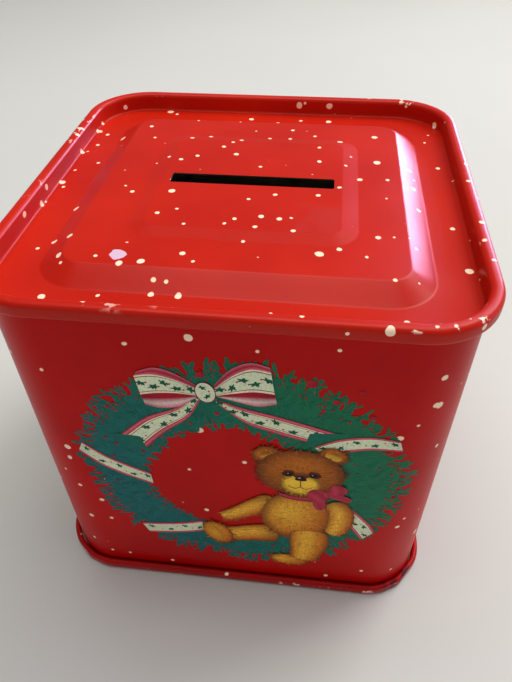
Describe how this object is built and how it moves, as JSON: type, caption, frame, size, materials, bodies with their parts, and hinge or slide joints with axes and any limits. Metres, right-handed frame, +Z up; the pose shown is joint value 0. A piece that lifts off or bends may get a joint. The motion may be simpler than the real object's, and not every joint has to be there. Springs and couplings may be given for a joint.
{
  "type": "tin money box",
  "caption": "Square printed tin money box with rolled seams, a stepped top with a coin slot, and a plastic stopper in the base.",
  "frame": {"origin": "middle of the footprint, on the surface the tin stands on", "axes": "+Z up, front face towards -Y, the coin slot runs along X"},
  "size_m": [0.0832, 0.0832, 0.08],
  "materials": {
    "printed_tin": "dark red enamel with a printed picture, satin to glossy",
    "printed_lid": "bright red enamel with cream snow dots, glossy",
    "plain_tin": "base end, red lacquer outside and bare tinplate inside",
    "white_plastic": "soft translucent white polyethylene, satin"
  },
  "bodies": {
    "tin": {"body_wall": "printed_tin", "top_end": "printed_lid", "base_end": "plain_tin"},
    "stopper": {"stopper": "white_plastic"}
  },
  "joints": [
    {"name": "stopper_pull", "type": "slide", "parent": "tin", "child": "stopper", "axis": [0, 0, -1], "range_m": [0, 0.03]}
  ]
}
